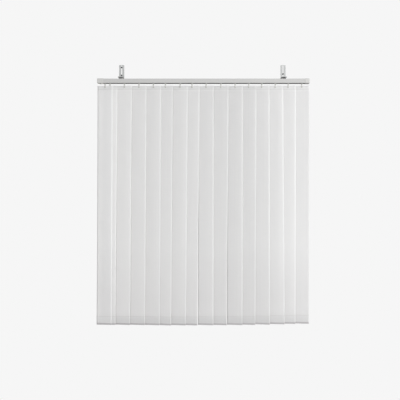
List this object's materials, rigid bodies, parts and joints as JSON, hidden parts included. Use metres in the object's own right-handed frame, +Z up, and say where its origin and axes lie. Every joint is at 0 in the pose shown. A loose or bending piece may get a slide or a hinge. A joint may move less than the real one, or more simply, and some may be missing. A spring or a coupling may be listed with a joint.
{
  "type": "vertical blind",
  "caption": "Wall-mounted vertical blind: fabric vanes hung by hooks from sliding carriers in a slotted headrail, tilted together by a grooved rod.",
  "frame": {"origin": "left wall bracket's back face, on its centre line, 38 mm above the underside of its arm", "axes": "+Z up, +Y into the wall, +X along the rail to the right as seen from the room"},
  "size_m": [1.22, 0.119, 1.501],
  "materials": {
    "rail_enamel": "white enamelled aluminium extrusion, satin",
    "cap_plastic": "white moulded plastic, satin",
    "bracket_steel": "zinc-plated pressed steel",
    "spring_steel": "dark spring steel",
    "black_screws": "black phosphated steel",
    "zinc_bolts": "zinc-plated steel",
    "rod_aluminium": "mill-finish aluminium",
    "wheel_nylon": "white nylon",
    "carrier_acetal": "white acetal",
    "vane_cloth": "off-white woven polyester, stiffened"
  },
  "bodies": {
    "headrail": {"headrail": "rail_enamel", "control_end_cap": "cap_plastic", "plain_end_cap": "cap_plastic", "wall_bracket_left": "bracket_steel", "wall_bracket_right": "bracket_steel", "rail_clip_left": "spring_steel", "rail_clip_right": "spring_steel", "wall_screws": "black_screws", "clip_bolts": "zinc_bolts", "carrier_16": "carrier_acetal"},
    "tilt_rod": {"tilt_rod": "rod_aluminium", "chain_wheel": "wheel_nylon"},
    "cord_pulley": {"cord_pulley": "wheel_nylon"},
    "carrier_01": {"carrier_01": "carrier_acetal"},
    "carrier_02": {"carrier_02": "carrier_acetal"},
    "carrier_03": {"carrier_03": "carrier_acetal"},
    "carrier_04": {"carrier_04": "carrier_acetal"},
    "carrier_05": {"carrier_05": "carrier_acetal"},
    "carrier_06": {"carrier_06": "carrier_acetal"},
    "carrier_07": {"carrier_07": "carrier_acetal"},
    "carrier_08": {"carrier_08": "carrier_acetal"},
    "carrier_09": {"carrier_09": "carrier_acetal"},
    "carrier_10": {"carrier_10": "carrier_acetal"},
    "carrier_11": {"carrier_11": "carrier_acetal"},
    "carrier_12": {"carrier_12": "carrier_acetal"},
    "carrier_13": {"carrier_13": "carrier_acetal"},
    "carrier_14": {"carrier_14": "carrier_acetal"},
    "carrier_15": {"carrier_15": "carrier_acetal"},
    "worm_01": {"worm_01": "carrier_acetal"},
    "worm_02": {"worm_02": "carrier_acetal"},
    "worm_03": {"worm_03": "carrier_acetal"},
    "worm_04": {"worm_04": "carrier_acetal"},
    "worm_05": {"worm_05": "carrier_acetal"},
    "worm_06": {"worm_06": "carrier_acetal"},
    "worm_07": {"worm_07": "carrier_acetal"},
    "worm_08": {"worm_08": "carrier_acetal"},
    "worm_09": {"worm_09": "carrier_acetal"},
    "worm_10": {"worm_10": "carrier_acetal"},
    "worm_11": {"worm_11": "carrier_acetal"},
    "worm_12": {"worm_12": "carrier_acetal"},
    "worm_13": {"worm_13": "carrier_acetal"},
    "worm_14": {"worm_14": "carrier_acetal"},
    "worm_15": {"worm_15": "carrier_acetal"},
    "worm_16": {"worm_16": "carrier_acetal"},
    "vane_01": {"vane_01": "vane_cloth"},
    "vane_02": {"vane_02": "vane_cloth"},
    "vane_03": {"vane_03": "vane_cloth"},
    "vane_04": {"vane_04": "vane_cloth"},
    "vane_05": {"vane_05": "vane_cloth"},
    "vane_06": {"vane_06": "vane_cloth"},
    "vane_07": {"vane_07": "vane_cloth"},
    "vane_08": {"vane_08": "vane_cloth"},
    "vane_09": {"vane_09": "vane_cloth"},
    "vane_10": {"vane_10": "vane_cloth"},
    "vane_11": {"vane_11": "vane_cloth"},
    "vane_12": {"vane_12": "vane_cloth"},
    "vane_13": {"vane_13": "vane_cloth"},
    "vane_14": {"vane_14": "vane_cloth"},
    "vane_15": {"vane_15": "vane_cloth"},
    "vane_16": {"vane_16": "vane_cloth"}
  },
  "joints": [
    {"name": "tilt_rod_turn", "type": "hinge", "parent": "headrail", "child": "tilt_rod", "pos_m": [0, -0.0705, -0.061], "axis": [1, 0, 0], "range_deg": [0, 1560]},
    {"name": "draw_01", "type": "slide", "parent": "headrail", "child": "carrier_01", "axis": [1, 0, 0], "range_m": [0, 0.801]},
    {"name": "draw_02", "type": "slide", "parent": "headrail", "child": "carrier_02", "axis": [1, 0, 0], "range_m": [0, 0.7955]},
    {"name": "draw_03", "type": "slide", "parent": "headrail", "child": "carrier_03", "axis": [1, 0, 0], "range_m": [0, 0.7345]},
    {"name": "draw_04", "type": "slide", "parent": "headrail", "child": "carrier_04", "axis": [1, 0, 0], "range_m": [0, 0.6725]},
    {"name": "draw_05", "type": "slide", "parent": "headrail", "child": "carrier_05", "axis": [1, 0, 0], "range_m": [0, 0.6115]},
    {"name": "draw_06", "type": "slide", "parent": "headrail", "child": "carrier_06", "axis": [1, 0, 0], "range_m": [0, 0.5645]},
    {"name": "draw_07", "type": "slide", "parent": "headrail", "child": "carrier_07", "axis": [1, 0, 0], "range_m": [0, 0.5015]},
    {"name": "draw_08", "type": "slide", "parent": "headrail", "child": "carrier_08", "axis": [1, 0, 0], "range_m": [0, 0.4555]},
    {"name": "draw_09", "type": "slide", "parent": "headrail", "child": "carrier_09", "axis": [1, 0, 0], "range_m": [0, 0.3965]},
    {"name": "draw_10", "type": "slide", "parent": "headrail", "child": "carrier_10", "axis": [1, 0, 0], "range_m": [0, 0.3335]},
    {"name": "draw_11", "type": "slide", "parent": "headrail", "child": "carrier_11", "axis": [1, 0, 0], "range_m": [0, 0.2735]},
    {"name": "draw_12", "type": "slide", "parent": "headrail", "child": "carrier_12", "axis": [1, 0, 0], "range_m": [0, 0.2175]},
    {"name": "draw_13", "type": "slide", "parent": "headrail", "child": "carrier_13", "axis": [1, 0, 0], "range_m": [0, 0.1645]},
    {"name": "draw_14", "type": "slide", "parent": "headrail", "child": "carrier_14", "axis": [1, 0, 0], "range_m": [0, 0.1085]},
    {"name": "draw_15", "type": "slide", "parent": "headrail", "child": "carrier_15", "axis": [1, 0, 0], "range_m": [0, 0.0565]},
    {"name": "worm_turn_01", "type": "hinge", "parent": "carrier_01", "child": "worm_01", "pos_m": [-0.09, -0.0705, -0.061], "axis": [1, 0, 0], "range_deg": [0, 1561]},
    {"name": "worm_turn_02", "type": "hinge", "parent": "carrier_02", "child": "worm_02", "pos_m": [-0.062, -0.0705, -0.061], "axis": [1, 0, 0], "range_deg": [0, 1561]},
    {"name": "worm_turn_03", "type": "hinge", "parent": "carrier_03", "child": "worm_03", "pos_m": [0.021, -0.0705, -0.061], "axis": [1, 0, 0], "range_deg": [0, 1561]},
    {"name": "worm_turn_04", "type": "hinge", "parent": "carrier_04", "child": "worm_04", "pos_m": [0.105, -0.0705, -0.061], "axis": [1, 0, 0], "range_deg": [0, 1561]},
    {"name": "worm_turn_05", "type": "hinge", "parent": "carrier_05", "child": "worm_05", "pos_m": [0.188, -0.0705, -0.061], "axis": [1, 0, 0], "range_deg": [0, 1561]},
    {"name": "worm_turn_06", "type": "hinge", "parent": "carrier_06", "child": "worm_06", "pos_m": [0.257, -0.0705, -0.061], "axis": [1, 0, 0], "range_deg": [0, 1561]},
    {"name": "worm_turn_07", "type": "hinge", "parent": "carrier_07", "child": "worm_07", "pos_m": [0.342, -0.0705, -0.061], "axis": [1, 0, 0], "range_deg": [0, 1561]},
    {"name": "worm_turn_08", "type": "hinge", "parent": "carrier_08", "child": "worm_08", "pos_m": [0.41, -0.0705, -0.061], "axis": [1, 0, 0], "range_deg": [0, 1561]},
    {"name": "worm_turn_09", "type": "hinge", "parent": "carrier_09", "child": "worm_09", "pos_m": [0.491, -0.0705, -0.061], "axis": [1, 0, 0], "range_deg": [0, 1561]},
    {"name": "worm_turn_10", "type": "hinge", "parent": "carrier_10", "child": "worm_10", "pos_m": [0.576, -0.0705, -0.061], "axis": [1, 0, 0], "range_deg": [0, 1561]},
    {"name": "worm_turn_11", "type": "hinge", "parent": "carrier_11", "child": "worm_11", "pos_m": [0.658, -0.0705, -0.061], "axis": [1, 0, 0], "range_deg": [0, 1561]},
    {"name": "worm_turn_12", "type": "hinge", "parent": "carrier_12", "child": "worm_12", "pos_m": [0.736, -0.0705, -0.061], "axis": [1, 0, 0], "range_deg": [0, 1561]},
    {"name": "worm_turn_13", "type": "hinge", "parent": "carrier_13", "child": "worm_13", "pos_m": [0.811, -0.0705, -0.061], "axis": [1, 0, 0], "range_deg": [0, 1561]},
    {"name": "worm_turn_14", "type": "hinge", "parent": "carrier_14", "child": "worm_14", "pos_m": [0.889, -0.0705, -0.061], "axis": [1, 0, 0], "range_deg": [0, 1561]},
    {"name": "worm_turn_15", "type": "hinge", "parent": "carrier_15", "child": "worm_15", "pos_m": [0.963, -0.0705, -0.061], "axis": [1, 0, 0], "range_deg": [0, 1561]},
    {"name": "worm_turn_16", "type": "hinge", "parent": "headrail", "child": "worm_16", "pos_m": [1.041, -0.0705, -0.061], "axis": [1, 0, 0], "range_deg": [0, 1561]},
    {"name": "vane_tilt_01", "type": "hinge", "parent": "carrier_01", "child": "vane_01", "pos_m": [-0.09, -0.06, 0], "axis": [0, 0, -1], "range_deg": [0, 156.5]},
    {"name": "vane_tilt_02", "type": "hinge", "parent": "carrier_02", "child": "vane_02", "pos_m": [-0.062, -0.06, 0], "axis": [0, 0, -1], "range_deg": [0, 156.5]},
    {"name": "vane_tilt_03", "type": "hinge", "parent": "carrier_03", "child": "vane_03", "pos_m": [0.021, -0.06, 0], "axis": [0, 0, -1], "range_deg": [0, 156.5]},
    {"name": "vane_tilt_04", "type": "hinge", "parent": "carrier_04", "child": "vane_04", "pos_m": [0.105, -0.06, 0], "axis": [0, 0, -1], "range_deg": [0, 156.5]},
    {"name": "vane_tilt_05", "type": "hinge", "parent": "carrier_05", "child": "vane_05", "pos_m": [0.188, -0.06, 0], "axis": [0, 0, -1], "range_deg": [0, 156.5]},
    {"name": "vane_tilt_06", "type": "hinge", "parent": "carrier_06", "child": "vane_06", "pos_m": [0.257, -0.06, 0], "axis": [0, 0, -1], "range_deg": [0, 156.5]},
    {"name": "vane_tilt_07", "type": "hinge", "parent": "carrier_07", "child": "vane_07", "pos_m": [0.342, -0.06, 0], "axis": [0, 0, -1], "range_deg": [0, 156.5]},
    {"name": "vane_tilt_08", "type": "hinge", "parent": "carrier_08", "child": "vane_08", "pos_m": [0.41, -0.06, 0], "axis": [0, 0, -1], "range_deg": [0, 156.5]},
    {"name": "vane_tilt_09", "type": "hinge", "parent": "carrier_09", "child": "vane_09", "pos_m": [0.491, -0.06, 0], "axis": [0, 0, -1], "range_deg": [0, 156.5]},
    {"name": "vane_tilt_10", "type": "hinge", "parent": "carrier_10", "child": "vane_10", "pos_m": [0.576, -0.06, 0], "axis": [0, 0, -1], "range_deg": [0, 156.5]},
    {"name": "vane_tilt_11", "type": "hinge", "parent": "carrier_11", "child": "vane_11", "pos_m": [0.658, -0.06, 0], "axis": [0, 0, -1], "range_deg": [0, 156.5]},
    {"name": "vane_tilt_12", "type": "hinge", "parent": "carrier_12", "child": "vane_12", "pos_m": [0.736, -0.06, 0], "axis": [0, 0, -1], "range_deg": [0, 156.5]},
    {"name": "vane_tilt_13", "type": "hinge", "parent": "carrier_13", "child": "vane_13", "pos_m": [0.811, -0.06, 0], "axis": [0, 0, -1], "range_deg": [0, 156.5]},
    {"name": "vane_tilt_14", "type": "hinge", "parent": "carrier_14", "child": "vane_14", "pos_m": [0.889, -0.06, 0], "axis": [0, 0, -1], "range_deg": [0, 156.5]},
    {"name": "vane_tilt_15", "type": "hinge", "parent": "carrier_15", "child": "vane_15", "pos_m": [0.963, -0.06, 0], "axis": [0, 0, -1], "range_deg": [0, 156.5]},
    {"name": "vane_tilt_16", "type": "hinge", "parent": "headrail", "child": "vane_16", "pos_m": [1.041, -0.06, 0], "axis": [0, 0, -1], "range_deg": [0, 156.5]},
    {"name": "cord_pulley_turn", "type": "hinge", "parent": "headrail", "child": "cord_pulley", "pos_m": [1.0724, -0.059, -0.069], "axis": [0, 0, 1], "range_deg": [0, 6039.7]}
  ],
  "couplings": [
    {"joint": "draw_02", "follows": "draw_01", "ratio": 0.99251},
    {"joint": "draw_03", "follows": "draw_01", "ratio": 0.91636},
    {"joint": "draw_04", "follows": "draw_01", "ratio": 0.83895},
    {"joint": "draw_05", "follows": "draw_01", "ratio": 0.7628},
    {"joint": "draw_06", "follows": "draw_01", "ratio": 0.70412},
    {"joint": "draw_07", "follows": "draw_01", "ratio": 0.62547},
    {"joint": "draw_08", "follows": "draw_01", "ratio": 0.56804},
    {"joint": "draw_09", "follows": "draw_01", "ratio": 0.49438},
    {"joint": "draw_10", "follows": "draw_01", "ratio": 0.41573},
    {"joint": "draw_11", "follows": "draw_01", "ratio": 0.34082},
    {"joint": "draw_12", "follows": "draw_01", "ratio": 0.27091},
    {"joint": "draw_13", "follows": "draw_01", "ratio": 0.20474},
    {"joint": "draw_14", "follows": "draw_01", "ratio": 0.13483},
    {"joint": "draw_15", "follows": "draw_01", "ratio": 0.069913},
    {"joint": "worm_turn_01", "follows": "tilt_rod_turn", "ratio": 1},
    {"joint": "worm_turn_02", "follows": "tilt_rod_turn", "ratio": 1},
    {"joint": "worm_turn_03", "follows": "tilt_rod_turn", "ratio": 1},
    {"joint": "worm_turn_04", "follows": "tilt_rod_turn", "ratio": 1},
    {"joint": "worm_turn_05", "follows": "tilt_rod_turn", "ratio": 1},
    {"joint": "worm_turn_06", "follows": "tilt_rod_turn", "ratio": 1},
    {"joint": "worm_turn_07", "follows": "tilt_rod_turn", "ratio": 1},
    {"joint": "worm_turn_08", "follows": "tilt_rod_turn", "ratio": 1},
    {"joint": "worm_turn_09", "follows": "tilt_rod_turn", "ratio": 1},
    {"joint": "worm_turn_10", "follows": "tilt_rod_turn", "ratio": 1},
    {"joint": "worm_turn_11", "follows": "tilt_rod_turn", "ratio": 1},
    {"joint": "worm_turn_12", "follows": "tilt_rod_turn", "ratio": 1},
    {"joint": "worm_turn_13", "follows": "tilt_rod_turn", "ratio": 1},
    {"joint": "worm_turn_14", "follows": "tilt_rod_turn", "ratio": 1},
    {"joint": "worm_turn_15", "follows": "tilt_rod_turn", "ratio": 1},
    {"joint": "worm_turn_16", "follows": "tilt_rod_turn", "ratio": 1},
    {"joint": "vane_tilt_01", "follows": "tilt_rod_turn", "ratio": 0.1},
    {"joint": "vane_tilt_02", "follows": "tilt_rod_turn", "ratio": 0.1},
    {"joint": "vane_tilt_03", "follows": "tilt_rod_turn", "ratio": 0.1},
    {"joint": "vane_tilt_04", "follows": "tilt_rod_turn", "ratio": 0.1},
    {"joint": "vane_tilt_05", "follows": "tilt_rod_turn", "ratio": 0.1},
    {"joint": "vane_tilt_06", "follows": "tilt_rod_turn", "ratio": 0.1},
    {"joint": "vane_tilt_07", "follows": "tilt_rod_turn", "ratio": 0.1},
    {"joint": "vane_tilt_08", "follows": "tilt_rod_turn", "ratio": 0.1},
    {"joint": "vane_tilt_09", "follows": "tilt_rod_turn", "ratio": 0.1},
    {"joint": "vane_tilt_10", "follows": "tilt_rod_turn", "ratio": 0.1},
    {"joint": "vane_tilt_11", "follows": "tilt_rod_turn", "ratio": 0.1},
    {"joint": "vane_tilt_12", "follows": "tilt_rod_turn", "ratio": 0.1},
    {"joint": "vane_tilt_13", "follows": "tilt_rod_turn", "ratio": 0.1},
    {"joint": "vane_tilt_14", "follows": "tilt_rod_turn", "ratio": 0.1},
    {"joint": "vane_tilt_15", "follows": "tilt_rod_turn", "ratio": 0.1},
    {"joint": "vane_tilt_16", "follows": "tilt_rod_turn", "ratio": 0.1},
    {"joint": "cord_pulley_turn", "follows": "draw_01", "rad_per_m": 131.58}
  ]
}
